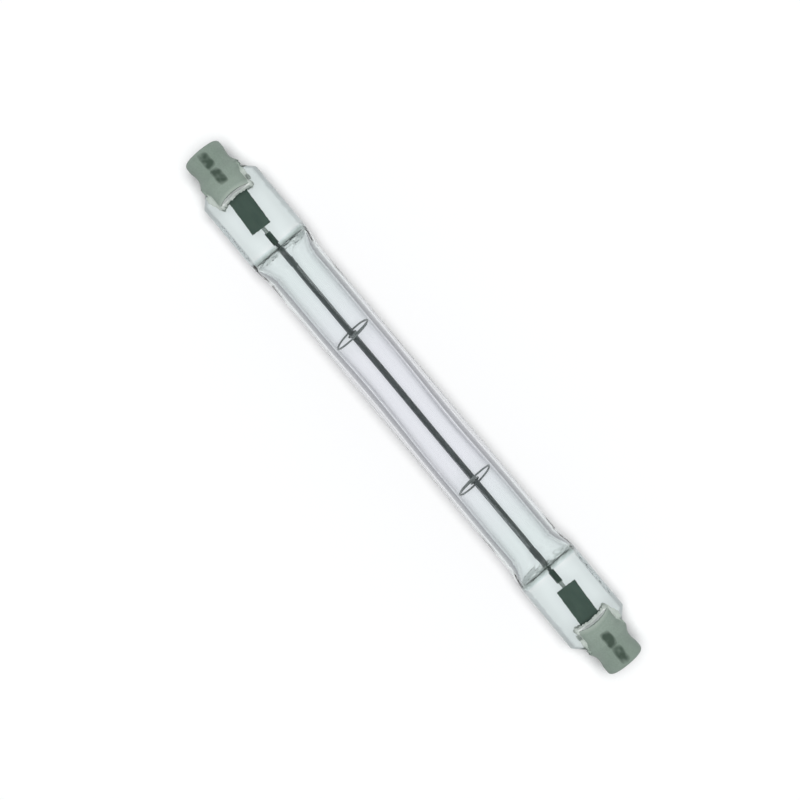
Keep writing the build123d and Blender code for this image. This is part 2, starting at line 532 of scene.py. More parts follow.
# Steatite caps: a turned body with a recess, slotted into two hollowed jaws.

capSpec = {
    "sides": 96,
    "jawRings": ((48.6, 3.875), (51.4, 3.875), (51.6, 3.92), (52.4, 4.23), (52.6, 4.28), (52.8, 4.3)),
    "flangeRings": ((53.4, 4.3), (53.6, 4.26), (53.8, 4.14)),
    "neckX": 55.35,
    "neckRadius": 3.525,
    "neckSteps": 7,
    "barrelX": 56.9,
    "barrelRadius": 3.75,
    "rimRadius": 0.8,
    "rimSteps": 8,
    "endX": 58.8,
    "recessRings": ((58.8, 2.25), (58.74, 2.16), (58.62, 2.1), (57.1, 2.1), (57.1, 1.9), (56.45, 1.9)),
    "slotHalf": 1.8,
    "slotFloorX": 53.4,
    "slotReach": 20,
    "hollowX": 37.6,
    "hollowRadius": 11.72,
    "hollowSides": 360,
    "hollowSlope": 3,
    "hollowHeight": 4.0,
    "hollowSink": 0.01,
    "voxel": 0.085,
    "soften": 5,
    "smoothAngle": 60,
}


def capRings():
    spec = capSpec
    neckX, neckRadius = spec["neckX"], spec["neckRadius"]
    rings = list(spec["jawRings"]) + list(spec["flangeRings"])
    fromX, fromRadius = rings[-1]
    for step in range(1, spec["neckSteps"] + 1):  # down into the neck
        left = 1 - step / spec["neckSteps"]
        rings.append((neckX + (fromX - neckX) * left, neckRadius + (fromRadius - neckRadius) * left * left))
    rise = spec["barrelRadius"] - neckRadius
    for step in range(1, spec["neckSteps"] + 1):  # and up again to the barrel
        done = step / spec["neckSteps"]
        rings.append((neckX + (spec["barrelX"] - neckX) * done, neckRadius + rise * done * done))
    for step in range(spec["rimSteps"] + 1):
        turn = math.pi / 2 * step / spec["rimSteps"]
        x = spec["endX"] - spec["rimRadius"] * (1 - math.sin(turn))
        rings.append((x, spec["barrelRadius"] - spec["rimRadius"] * (1 - math.cos(turn))))
    return rings + list(spec["recessRings"])


def turnCap(name):
    spec = capSpec
    rings = capRings()
    lastX, lastRadius = rings[0]
    deselect()
    bpy.ops.mesh.primitive_circle_add(
        vertices=spec["sides"],
        radius=lastRadius,
        fill_type="NGON",
        location=(lastX, 0, 0),
        rotation=(0, math.pi / 2, 0),
    )
    cap = takeNew(name)
    startEdit(cap)
    selectAll()
    for x, radius in rings[1:]:
        bpy.ops.mesh.extrude_region_move(TRANSFORM_OT_translate={"value": (x - lastX, 0, 0)})
        grow = radius / lastRadius
        bpy.ops.transform.resize(value=(1, grow, grow), center_override=(x, 0, 0))
        lastX, lastRadius = x, radius
    endEdit()
    closeUp(cap)

    reach, slotHalf, height = spec["slotReach"], spec["slotHalf"], spec["hollowHeight"]
    cutAway(cap, addBox("slotCutter", (spec["slotFloorX"] - reach / 2, 0, 0), (reach, reach, 2 * slotHalf)))
    spread = height * math.tan(math.radians(spec["hollowSlope"]))
    for side in (1, -1):
        deselect()
        bpy.ops.mesh.primitive_cone_add(
            vertices=spec["hollowSides"],
            radius1=spec["hollowRadius"],
            radius2=spec["hollowRadius"] + spread,
            depth=height,
            location=(spec["hollowX"], 0, side * (slotHalf + height / 2 - spec["hollowSink"])),
            rotation=(0 if side > 0 else math.pi, 0, 0),
        )
        cutAway(cap, takeNew("hollowCutter"))
    turnSeal(cap)
    remesh(cap, spec["voxel"])
    soften(cap, spec["soften"])
    return cap


rightCap, leftCap = bothEnds(
    turnCap("rightCap"),
    "leftCap",
    ("right_cap", "left_cap"),
    capSpec["smoothAngle"],
)
print("caps:", len(rightCap.data.polygons), "faces each")


# Cement: pressed out of the slot in a lumpy bead along each jaw.

cementSpec = {
    "slabs": (
        ((51.25, 0, 1.73), (4.3, 6.7, 0.28)),
        ((51.25, 0, -1.73), (4.3, 6.7, 0.28)),
        ((53.15, 0, 0), (0.5, 6.9, 3.6)),
    ),
    "beadRadius": 11.75,
    "beadCount": 23,
    "beadReach": 3.35,
    "beadHeight": 1.4,
    "beadSize": (0.72, 0.42, 0.46),
    "beadWander": 0.25,
    "wanderStep": 2.7,
    "fillets": ((11.75, 0.6, 0.7), (12.0, 0.5, 1.9)),  # radius about the hollow, spread and rise
    "filletDrop": 0.2,
    "smears": (
        ((48.55, 3.1, 1.58), (0.35, 0.4, 0.16)),
        ((48.75, 3.3, 1.58), (0.5, 0.3, 0.14)),
        ((48.75, -3.2, 1.58), (0.4, 0.4, 0.14)),
        ((49.5, 3.7, 1.58), (0.6, 0.3, 0.14)),
        ((50.2, 3.95, 1.58), (0.6, 0.42, 0.15)),
        ((50.8, 4.1, 1.58), (0.5, 0.5, 0.14)),
        ((51.4, 4.0, 1.58), (0.5, 0.5, 0.16)),
        ((50.7, -3.9, 1.58), (0.5, 0.3, 0.12)),
        ((51.3, -3.95, 1.58), (0.4, 0.35, 0.14)),
        ((51.8, -3.9, 1.58), (0.4, 0.3, 0.14)),
        ((48.8, -3.0, -1.58), (0.45, 0.5, 0.16)),
        ((48.9, 2.8, -1.58), (0.4, 0.6, 0.14)),
        ((50.2, -3.8, -1.58), (0.7, 0.3, 0.14)),
        ((53.15, 0, 0), (0.4, 4.15, 1.8)),
    ),
    "corners": (  # each group is laid at all four corners: lumps in the notch, then smears along the jaw
        (((52.65, 3.6, 1.62), (0.85, 0.55, 0.22)), ((53.0, 3.75, 1.2), (0.5, 0.45, 0.6))),
        (((51.0, 3.4, 1.66), (1.7, 0.2, 0.2)),),
    ),
    "blobDetail": 3,
    "voxel": 0.07,
    "soften": 8,
    "grit": 0.5,
    "gritDepth": 0.14,
    "gritLevel": 0.55,
    "clearances": ((40, 50.6, 7, 7), (50.55, 52.95, 6.1, 4.1)),  # start, end and their half widths
    "sealSink": 0.01,
    "smoothAngle": 50,
}


def cementBlobs():
    # place and size of each lump: smears, corners, and a bead with its fillets along each jaw
    spec = cementSpec
    hollowX, beadHeight = capSpec["hollowX"], spec["beadHeight"]
    blobs = list(spec["smears"])
    for group in spec["corners"]:
        for up in (1, -1):
            for side in (1, -1):
                blobs += [((x, side * y, up * z), size) for (x, y, z), size in group]
    for side in (1, -1):
        for step in range(spec["beadCount"]):
            y = spec["beadReach"] * (2 * step / (spec["beadCount"] - 1) - 1)
            x = hollowX + math.sqrt(spec["beadRadius"] ** 2 - y * y)
            wander = 1 + spec["beadWander"] * math.sin(spec["wanderStep"] * step + side)
            blobs.append(((x, y, side * beadHeight), tuple(wander * value for value in spec["beadSize"])))
            jawTop = math.sqrt(capSpec["jawRings"][0][1] ** 2 - y * y)
            room = jawTop - spec["filletDrop"] - beadHeight
            for radius, spread, rise in spec["fillets"]:
                x = hollowX + math.sqrt(radius ** 2 - y * y)
                blobs.append(((x, y, side * beadHeight), (spread, spread, min(rise, room))))
    return blobs


def pressCement(name):
    spec = cementSpec
    lumps = [addBox("cementSlab", place, size) for place, size in spec["slabs"]]
    detail = spec["blobDetail"]
    for place, size in cementBlobs():
        deselect()
        bpy.ops.mesh.primitive_ico_sphere_add(subdivisions=detail, radius=1, location=place, scale=size)
        lumps.append(takeNew("cementBlob"))
    cement = lumps[0]
    joinInto(cement, lumps[1:])
    rename(cement, name)
    remesh(cement, spec["voxel"])
    grit = bpy.data.textures.new("cementGrit", "CLOUDS")
    grit.noise_scale = spec["grit"]
    applyModifier(cement, "DISPLACE", {
        "texture": grit,
        "texture_coords": "LOCAL",
        "strength": spec["gritDepth"],
        "mid_level": spec["gritLevel"],
    })
    soften(cement, spec["soften"])
    sealHeight = 2 * (envelopeSpec["sealHalfHeight"] - spec["sealSink"])
    for startX, endX, startHalf, endHalf in spec["clearances"]:
        place = ((startX + endX) / 2, 0, 0)
        cutter = addBox("sealCutter", place, (endX - startX, 2 * startHalf, sealHeight))
        startEdit(cutter)
        pick(cutter, lambda co: co.x > endX - onPlane)
        bpy.ops.transform.resize(value=(1, endHalf / startHalf, 1), center_override=(endX, 0, 0))
        endEdit()
        cutAway(cement, cutter)
    mendCuts(cement)
    turnSeal(cement)
    return cement


rightCement, leftCement = bothEnds(
    pressCement("rightCement"),
    "leftCement",
    ("right_cement", "left_cement"),
    cementSpec["smoothAngle"],
)
print("cement:", len(rightCement.data.polygons), "faces each")


# Materials. Sizes of patterns are in millimetres, and places on the lamp are in metres.

def linear(hexColour):
    channels = [int(hexColour[i:i + 2], 16) / 255 for i in (0, 2, 4)]
    return [c / 12.92 if c <= 0.04045 else ((c + 0.055) / 1.055) ** 2.4 for c in channels] + [1]


def scaleFor(millimetres):
    # a pattern's scale from the real size of its grain
    return 1 / (millimetres * metresPerUnit)


def addNode(tree, kind, settings, links):
    # a key names or numbers a socket, or a pair of sockets, and otherwise a setting of the node
    node = tree.nodes.new("ShaderNode" + kind)
    for key, value in settings.items():
        if isinstance(key, tuple):
            for socket, part in zip(key, value):
                node.inputs[socket].default_value = part
        elif isinstance(key, int) or key in node.inputs:
            node.inputs[key].default_value = value
        else:
            setattr(node, key, value)
    for key, source in links.items():
        tree.links.new(source, node.inputs[key])
    return node


def newTree(name):
    material = bpy.data.materials.new(name)
    material.use_nodes = True
    material.node_tree.nodes.clear()
    return material, material.node_tree


def lampPlace(tree):
    # the place on the lamp, its axes, and how far it lies from the middle along and across the lamp
    place = addNode(tree, "TexCoord", {}, {})
    axes = addNode(tree, "SeparateXYZ", {}, {0: place.outputs["Object"]})
    outX = addNode(tree, "Math", {"operation": "ABSOLUTE"}, {0: axes.outputs[0]})
    outY = addNode(tree, "Math", {"operation": "ABSOLUTE"}, {0: axes.outputs[1]})
    return place.outputs["Object"], axes, outX.outputs[0], outY.outputs[0]


def fromHollow(tree, outX, outY):
    # how far a place lies from the middle of the jaws' hollow
    centre = capSpec["hollowX"] * metresPerUnit
    along = addNode(tree, "Math", {"operation": "SUBTRACT", 1: centre}, {0: outX})
    alongSq = addNode(tree, "Math", {"operation": "POWER", 1: 2.0}, {0: along.outputs[0]})
    acrossSq = addNode(tree, "Math", {"operation": "POWER", 1: 2.0}, {0: outY})
    bothSq = addNode(tree, "Math", {"operation": "ADD"}, {0: alongSq.outputs[0], 1: acrossSq.outputs[0]})
    return addNode(tree, "Math", {"operation": "SQRT"}, {0: bothSq.outputs[0]}).outputs[0]


def grainedSurface(tree, spec, colour, grain, settings):
    # the same grain roughens the surface and stands up from it
    level = addNode(tree, "MapRange", {(3, 4): spec["rough"]}, {0: grain})
    bump = addNode(tree, "Bump", {("Strength", "Distance"): spec["relief"]}, {"Height": grain})
    surface = addNode(tree, "BsdfPrincipled", settings, {
        "Base Color": colour,
        "Roughness": level.outputs[0],
        "Normal": bump.outputs[0],
    })
    addNode(tree, "OutputMaterial", {}, {"Surface": surface.outputs[0]})


quartzSpec = {
    "ior": 1.458,
    "lineSize": (50, 1.111, 1.111),  # the draw lines, along and across the tube
    "lineRelief": 0.000003,
    "middleColour": "fbfcff",
    "endColour": "f7fcfc",
    "sealColour": "ebf4f4",
    # painted shade: the grey tint that darkens the pinch's crease in blots
    "creaseShadeColour": "ced7d4",
    "endsFrom": (0.012, 0.030),
    "sealsFrom": (0.037, 0.039),
    "pinchX": 0.0366,
    "pinchFade": (0.0002, 0.0011),
    "blotSize": 1.1,
    "blotRange": (0.35, 0.6),
    "blotShare": (0.3, 1.0),
    "waveRelief": 0.0003,
    "pressY": (0.00498, 0.0055),  # on the shallow side and on the deep side
    "pressDepth": (0.00013, 0.00026),
    "pressSlope": (-0.0004, 0.0004),
    "pressShare": (0.65, 1.0),
    "pressFrom": (0.0376, 0.0386),
    "pressUntil": (0.047, 0.0495),
    "shoulder": (0.033, 0.037),
    "clearHalf": (0.0043, 0.0047),
    "clearFade": (0.88, 1.12),
    "clearLight": 0.99,
    "edgeLight": (0.25, 0.05),
}


def makeQuartz():
    # Fused quartz, drawn: clear and a little cool, its edges dark, with faint lines along the tube.
    spec = quartzSpec
    material, tree = newTree("fusedQuartz")
    place, axes, outX, outY = lampPlace(tree)
    drawn = addNode(tree, "Mapping", {
        "Scale": [scaleFor(size) for size in spec["lineSize"]],
    }, {"Vector": place})
    lines = addNode(tree, "TexNoise", {"Scale": 1.0, "Detail": 2}, {"Vector": drawn.outputs[0]})
    # the thicker glass of the seals shows its tint
    ends = addNode(tree, "MapRange", {(1, 2): spec["endsFrom"]}, {0: outX})
    tubeTint = addNode(tree, "Mix", {
        "data_type": "RGBA", 6: linear(spec["middleColour"]), 7: linear(spec["endColour"]),
    }, {0: ends.outputs[0]})
    sealed = addNode(tree, "MapRange", {(1, 2): spec["sealsFrom"]}, {0: outX})
    # the pinch's crease gets painted shade: a grey tint in blots darkens the glass there
    fromPinch = addNode(tree, "Math", {"operation": "SUBTRACT", 1: spec["pinchX"]}, {0: outX})
    besidePinch = addNode(tree, "Math", {"operation": "ABSOLUTE"}, {0: fromPinch.outputs[0]})
    pinchBand = addNode(tree, "MapRange", {
        "interpolation_type": "SMOOTHSTEP", (1, 2): spec["pinchFade"], 3: 1.0, 4: 0.0,
    }, {0: besidePinch.outputs[0]})
    blots = addNode(tree, "TexNoise", {
        "Scale": scaleFor(spec["blotSize"]), "Detail": 3,
    }, {"Vector": place})
    blotted = addNode(tree, "MapRange", {
        (1, 2): spec["blotRange"], (3, 4): spec["blotShare"],
    }, {0: blots.outputs[0]})
    paintedCreaseShade = addNode(tree, "Math", {"operation": "MULTIPLY"}, {
        0: pinchBand.outputs[0], 1: blotted.outputs[0],
    })
    tint = tubeTint
    for share, colour in ((sealed, "sealColour"), (paintedCreaseShade, "creaseShadeColour")):
        tint = addNode(tree, "Mix", {"data_type": "RGBA", 7: linear(spec[colour])}, {
            0: share.outputs[0], 6: tint.outputs[2],
        })
    # the press leaves a line inside each edge of the flat seals, deeper on one side
    twist = addNode(tree, "Math", {"operation": "MULTIPLY"}, {0: axes.outputs[0], 1: axes.outputs[1]})
    deep = addNode(tree, "Math", {"operation": "GREATER_THAN", 1: 0.0}, {0: twist.outputs[0]})
    lineAt = addNode(tree, "MapRange", {(3, 4): spec["pressY"]}, {0: deep.outputs[0]})
    fromLine = addNode(tree, "Math", {"operation": "SUBTRACT"}, {0: outY, 1: lineAt.outputs[0]})
    ridge = addNode(tree, "MapRange", {
        "interpolation_type": "SMOOTHSTEP", (1, 2): spec["pressSlope"],
    }, {0: fromLine.outputs[0]})
    depth = addNode(tree, "MapRange", {(3, 4): spec["pressDepth"]}, {0: deep.outputs[0]})
    ragged = addNode(tree, "MapRange", {
        (1, 2): spec["blotRange"], (3, 4): spec["pressShare"],
    }, {0: blots.outputs[0]})
    begins = addNode(tree, "MapRange", {(1, 2): spec["pressFrom"]}, {0: outX})
    ceases = addNode(tree, "MapRange", {(1, 2): spec["pressUntil"], 3: 1.0, 4: 0.0}, {0: outX})
    step = ridge
    for factor in (depth, ragged, begins, ceases):
        step = addNode(tree, "Math", {"operation": "MULTIPLY"}, {
            0: step.outputs[0], 1: factor.outputs[0],
        })
    # and the glass is wavy at the pinch
    waves = addNode(tree, "Math", {
        "operation": "MULTIPLY_ADD", 1: spec["waveRelief"], 2: -spec["waveRelief"] / 2,
    }, {0: blots.outputs[0]})
    wavy = addNode(tree, "Math", {"operation": "MULTIPLY_ADD"}, {
        0: waves.outputs[0], 1: pinchBand.outputs[0], 2: step.outputs[0],
    })
    height = addNode(tree, "Math", {"operation": "MULTIPLY_ADD", 1: spec["lineRelief"]}, {
        0: lines.outputs[0], 2: wavy.outputs[0],
    })
    bump = addNode(tree, "Bump", {"Strength": 1.0, "Distance": 1.0}, {"Height": height.outputs[0]})
    glass = addNode(tree, "BsdfPrincipled", {
        "Roughness": 0.0,
        "IOR": spec["ior"],
        "Transmission Weight": 1.0,
    }, {"Base Color": tint.outputs[2], "Normal": bump.outputs[0]})
    # lamps come through the middle, while the rounded sides throw their light aside
    clearHalf = addNode(tree, "MapRange", {
        (1, 2): spec["shoulder"], (3, 4): spec["clearHalf"],
    }, {0: outX})
    share = addNode(tree, "Math", {"operation": "DIVIDE"}, {0: outY, 1: clearHalf.outputs[0]})
    edgeLight = addNode(tree, "MapRange", {
        (1, 2): spec["shoulder"], (3, 4): spec["edgeLight"],
    }, {0: outX})
    through = addNode(tree, "MapRange", {
        "interpolation_type": "SMOOTHSTEP", (1, 2): spec["clearFade"], 3: spec["clearLight"],
    }, {0: share.outputs[0], 4: edgeLight.outputs[0]})
    clear = addNode(tree, "BsdfTransparent", {}, {"Color": through.outputs[0]})
    path = addNode(tree, "LightPath", {}, {})
    surface = glass
    for ray in ("Is Shadow Ray", "Is Diffuse Ray"):
        surface = addNode(tree, "MixShader", {}, {
            0: path.outputs[ray],
            1: surface.outputs[0],
            2: clear.outputs[0],
        })
    addNode(tree, "OutputMaterial", {}, {"Surface": surface.outputs[0]})
    return material


# The draw marks of the metals are too fine to show, so they are drawn as coarse as they need to be.

metalSpecs = {
    "drawnTungsten": {  # fired wire: a dull mid grey, with marks along it
        "dark": "5f6463", "light": "7f8583", "grain": 0.4, "stretch": 0.2,
        "rough": (0.35, 0.55), "metallic": 0.75,
    },
    "rolledMolybdenum": {  # etched foil: dark and greenish, silky, streaked along the ribbon
        "dark": "48594f", "light": "617369", "grain": 1.2, "stretch": 0.35,
        "rough": (0.4, 0.6), "metallic": 0.55,
    },
    "woundTungsten": {  # the sleeves' wire: as dark as the foil
        "dark": "48594f", "light": "617369", "grain": 1.2, "stretch": 0.35,
        "rough": (0.4, 0.6), "metallic": 0.55,
    },
    "etchedTungsten": {  # the supports' wire: pale and matt
        "dark": "7e8482", "light": "9ca29f", "grain": 0.5, "stretch": 1,
        "rough": (0.4, 0.6), "metallic": 0.5,
    },
    "brightMolybdenum": {  # the leads' rod: bright in the seal, darker where it stands in the tube
        "dark": "848c87", "light": "a2aaa4", "grain": 0.5, "stretch": 0.2,
        "rough": (0.3, 0.45), "metallic": 0.4, "inTubeTone": "4c5451", "inTubeToneFade": (0.0385, 0.0402),
    },
    "nickelPlate": {  # the contacts' plating: warm and bright
        "dark": "8e8c86", "light": "aaa8a2", "grain": 0.6, "stretch": 1,
        "rough": (0.3, 0.45), "metallic": 1.0,
    },
}
metalRelief = (0.15, 0.00005)


def makeMetal(name):
    spec = dict(metalSpecs[name], relief=metalRelief)
    material, tree = newTree(name)
    place = addNode(tree, "TexCoord", {}, {})
    drawn = addNode(tree, "Mapping", {"Scale": (spec["stretch"], 1, 1)}, {
        "Vector": place.outputs["Object"],
    })
    streak = addNode(tree, "TexNoise", {"Scale": scaleFor(spec["grain"]), "Detail": 4}, {
        "Vector": drawn.outputs[0],
    })
    tone = addNode(tree, "Mix", {
        "data_type": "RGBA", 6: linear(spec["dark"]), 7: linear(spec["light"]),
    }, {0: streak.outputs[0]})
    # the rod is darker where it stands in the tube
    if "inTubeTone" in spec:
        axes = addNode(tree, "SeparateXYZ", {}, {0: place.outputs["Object"]})
        outX = addNode(tree, "Math", {"operation": "ABSOLUTE"}, {0: axes.outputs[0]})
        inSeal = addNode(tree, "MapRange", {(1, 2): spec["inTubeToneFade"]}, {0: outX.outputs[0]})
        tone = addNode(tree, "Mix", {
            "data_type": "RGBA", 6: linear(spec["inTubeTone"]),
        }, {0: inSeal.outputs[0], 7: tone.outputs[2]})
    grainedSurface(tree, spec, tone.outputs[2], streak.outputs[0], {"Metallic": spec["metallic"]})
    return material


steatiteSpec = {
    "ior": 1.5,
    "rough": (0.55, 0.75),
    "relief": (0.12, 0.00005),
    "grain": 0.25,  # coarser than the real grain, so that it shows
    "cloud": 2.222,
    "dark": "7f8f83",
    "light": "8c998f",
    "jawColour": "909e93",
    "jawFade": (0.0545, 0.0512),
    "speck": 0.25,
    # painted light on the walls and rim of the hollowed jaws, and where it fades out
    "wallLightColour": "a6b2a8",
    "wallLightFade": (0.0119, 0.0126),
    "inkColour": "3c4b40",
    "inkFields": ((0.0531, 0.0015, 0.00085), (0.05645, 0.00155, 0.00085)),  # middle and half sizes
    "inkAside": 0.00015,
    "inkSquareness": 4.0,
    "inkAbove": 0.002,
    "wearSize": 1.2,
    "wear": (3.2, -1.9),
    "wearFade": (-0.4, 1.7),
    "inkShare": (0.92, 0.0),
}


def makeSteatite():
    # Steatite, pressed and fired: matt, fine-grained, grey-green, with a worn ink field on top.
    spec = steatiteSpec
    material, tree = newTree("firedSteatite")
    place, axes, outX, outY = lampPlace(tree)
    grain = addNode(tree, "TexNoise", {"Scale": scaleFor(spec["grain"]), "Detail": 3}, {"Vector": place})
    cloud = addNode(tree, "TexNoise", {"Scale": scaleFor(spec["cloud"]), "Detail": 2}, {"Vector": place})
    body = addNode(tree, "Mix", {
        "data_type": "RGBA", 6: linear(spec["dark"]), 7: linear(spec["light"]),
    }, {0: cloud.outputs[0]})
    jaws = addNode(tree, "MapRange", {(1, 2): spec["jawFade"]}, {0: outX})
    paler = addNode(tree, "Mix", {
        "data_type": "RGBA", 7: linear(spec["jawColour"]),
    }, {0: jaws.outputs[0], 6: body.outputs[2]})
    speck = addNode(tree, "Mix", {
        "data_type": "RGBA", "blend_type": "SOFT_LIGHT", 0: spec["speck"],
    }, {6: paler.outputs[2], 7: grain.outputs[0]})

    # painted light: the walls and rim of the hollowed jaws are paler, against the shade that falls on them
    radius = fromHollow(tree, outX, outY)
    wallLight = addNode(tree, "MapRange", {(1, 2): spec["wallLightFade"], 3: 1.0, 4: 0.0}, {0: radius})

    # two worn fields of ink on the crown of each cap, with rounded corners
    fields = []
    side = addNode(tree, "Math", {"operation": "SIGN"}, {0: axes.outputs[0]})
    acrossY = addNode(tree, "Math", {"operation": "MULTIPLY"}, {0: axes.outputs[1], 1: side.outputs[0]})
    offY = addNode(tree, "Math", {"operation": "SUBTRACT", 1: spec["inkAside"]}, {0: acrossY.outputs[0]})
    for middle, halfLength, halfWidth in spec["inkFields"]:
        offX = addNode(tree, "Math", {"operation": "SUBTRACT", 1: middle}, {0: outX})
        powers = []
        for off, half in ((offX, halfLength), (offY, halfWidth)):
            share = addNode(tree, "Math", {"operation": "DIVIDE", 1: half}, {0: off.outputs[0]})
            powers.append(addNode(tree, "Math", {
                "operation": "POWER", 1: spec["inkSquareness"],
            }, {0: share.outputs[0]}))
        fields.append(addNode(tree, "Math", {"operation": "ADD"}, {
            0: powers[0].outputs[0], 1: powers[1].outputs[0],
        }))
    nearest = addNode(tree, "Math", {"operation": "MINIMUM"}, {
        0: fields[0].outputs[0], 1: fields[1].outputs[0],
    })
    worn = addNode(tree, "TexNoise", {"Scale": scaleFor(spec["wearSize"]), "Detail": 1}, {"Vector": place})
    wander = addNode(tree, "Math", {"operation": "MULTIPLY_ADD", (1, 2): spec["wear"]}, {
        0: worn.outputs[0],
    })
    rough = addNode(tree, "Math", {"operation": "ADD"}, {0: nearest.outputs[0], 1: wander.outputs[0]})
    inside = addNode(tree, "MapRange", {
        (1, 2): spec["wearFade"], (3, 4): spec["inkShare"],
    }, {0: rough.outputs[0]})
    onTop = addNode(tree, "Math", {"operation": "GREATER_THAN", 1: spec["inkAbove"]}, {0: axes.outputs[2]})
    ink = addNode(tree, "Math", {"operation": "MULTIPLY"}, {0: inside.outputs[0], 1: onTop.outputs[0]})
    tone = speck
    for share, colour in ((wallLight, "wallLightColour"), (ink, "inkColour")):
        tone = addNode(tree, "Mix", {"data_type": "RGBA", 7: linear(spec[colour])}, {
            0: share.outputs[0], 6: tone.outputs[2],
        })
    grainedSurface(tree, spec, tone.outputs[2], grain.outputs[0], {"IOR": spec["ior"]})
    return material


chalkSpec = {
    "ior": 1.5,
    "rough": (0.75, 0.95),
    "relief": (0.5, 0.0001),
    "grit": 1 / 3,  # the sand in it
    "cloud": 1.4286,
    "dark": "aab4ac",
    "light": "ccd3cd",
    "slotColour": "95a398",
    "slotFade": (0.0513, 0.0524),
    # painted light: the cement next to the hollowed jaws is whitest, against their shade
    "filletLightColour": "ebefeb",
    "filletLightFade": (0.0113, 0.0116),
    "jawFade": (0.0028, 0.0033),
}


def makeCement():
    # Lamp cement, cured sodium silicate and grit: chalky and pale grey, rough to the touch.
    spec = chalkSpec
    material, tree = newTree("lampCement")
    place, axes, outX, outY = lampPlace(tree)
    grit = addNode(tree, "TexNoise", {"Scale": scaleFor(spec["grit"]), "Detail": 5}, {"Vector": place})
    cloud = addNode(tree, "TexNoise", {"Scale": scaleFor(spec["cloud"]), "Detail": 2}, {"Vector": place})
    tone = addNode(tree, "Mix", {
        "data_type": "RGBA", 6: linear(spec["dark"]), 7: linear(spec["light"]),
    }, {0: cloud.outputs[0]})
    # it is greyer in the slot, and painted light makes it whitest next to the hollowed jaws, against the
    # shade they throw on it
    inSlot = addNode(tree, "MapRange", {(1, 2): spec["slotFade"]}, {0: outX})
    radius = fromHollow(tree, outX, outY)
    filletLight = addNode(tree, "MapRange", {(1, 2): spec["filletLightFade"]}, {0: radius})
    onJaw = addNode(tree, "MapRange", {(1, 2): spec["jawFade"], 3: 1.0, 4: 0.0}, {0: outY})
    filletLightOnJaw = addNode(tree, "Math", {"operation": "MULTIPLY"}, {
        0: filletLight.outputs[0], 1: onJaw.outputs[0],
    })
    for share, colour in ((inSlot, "slotColour"), (filletLightOnJaw, "filletLightColour")):
        tone = addNode(tree, "Mix", {"data_type": "RGBA", 7: linear(spec[colour])}, {
            0: share.outputs[0], 6: tone.outputs[2],
        })
    grainedSurface(tree, spec, tone.outputs[2], grit.outputs[0], {"IOR": spec["ior"]})
    return material


quartz = makeQuartz()
tungsten = makeMetal("drawnTungsten")
molybdenum = makeMetal("rolledMolybdenum")
sleeveWire = makeMetal("woundTungsten")
supportWire = makeMetal("etchedTungsten")
leadWire = makeMetal("brightMolybdenum")
nickel = makeMetal("nickelPlate")
steatite = makeSteatite()
lampCement = makeCement()


def dress(piece, material):
    piece.data.materials.clear()
    piece.data.materials.append(material)


newPieces = {
    envelope: quartz,
    filament: tungsten,
    rightSupport: supportWire,
    leftSupport: supportWire,
    rightSleeve: sleeveWire,
    leftSleeve: sleeveWire,
    rightFoil: molybdenum,
    leftFoil: molybdenum,
    rightCap: steatite,
    leftCap: steatite,
    rightCement: lampCement,
    leftCement: lampCement,
}
keptNodes = {"_inner_lead": leadWire, "_outer_lead": molybdenum, "_contact": nickel}
for piece, material in newPieces.items():
    dress(piece, material)
    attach(piece, "root")
for end in ("left", "right"):
    for node, material in keptNodes.items():
        dress(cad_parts[end + node], material)
print("materials on", len(newPieces), "pieces and", 2 * len(keptNodes), "nodes")


# Stage: white floor, soft room and one broad overhead lamp.

stageSpec = {
    "floorSize": 4.0,
    "floorColour": "f8f8f8",
    "floorLift": 0.06,
    # painted shadow near the caps: how far the occlusion reaches, its samples, and where along the lamp it
    # begins
    "shadeReach": 0.0046,
    "shadeSamples": 4,
    "shadeFrom": (0.048, 0.052),
    "tableWhite": 0.95,
    "tableDark": "262e3c",
    "sealsFrom": (0.037, 0.039),
    "tableHalf": (0.0046, 0.0053),  # under the tube and under the seals, as the next two
    "tableShare": (0.55, 0.75),
    "dimShare": (1.0, 0.6),
    "tableEnd": 0.006,
    "slantBlend": 0.5,  # a slant is 0 straight down and 1 level
    "pinchFrom": (0.0358, 0.037),
    "nearFrom": (0.045, 0.008),  # slants at which the table dims first, in the tube and at the pinch
    "nearTo": (0.09, 0.06),
    "nearDim": 0.55,
    "farSlant": (0.09, 0.4),
    "farDim": 0.14,
    "grazingSlant": (0.44, 0.56),
    "grazingShare": 0.25,
    "wallDepth": 2.5,  # a ray that has passed one wall only
    "steepSlant": (0.2, 0.3),
    "limitFrom": (0.036, 0.039),
    "limitHalf": (0.018, 0.0055),  # how far aside it dims, in the tube and at the seals
    "limitFade": (1.0, 1.4),
    "roomSide": "d0d4d8",
    "roomTop": "42464a",
    "roomRise": (0.1, 0.5),
    "wallInGlass": "f2f4f6",
    "roomInGlass": "a4a8aa",
    "glassRise": (0.25, 0.45),
    "lampPlace": (0, 0, 0.5),
    "lampLevel": 0.90,
    "lampSpread": 34,
}


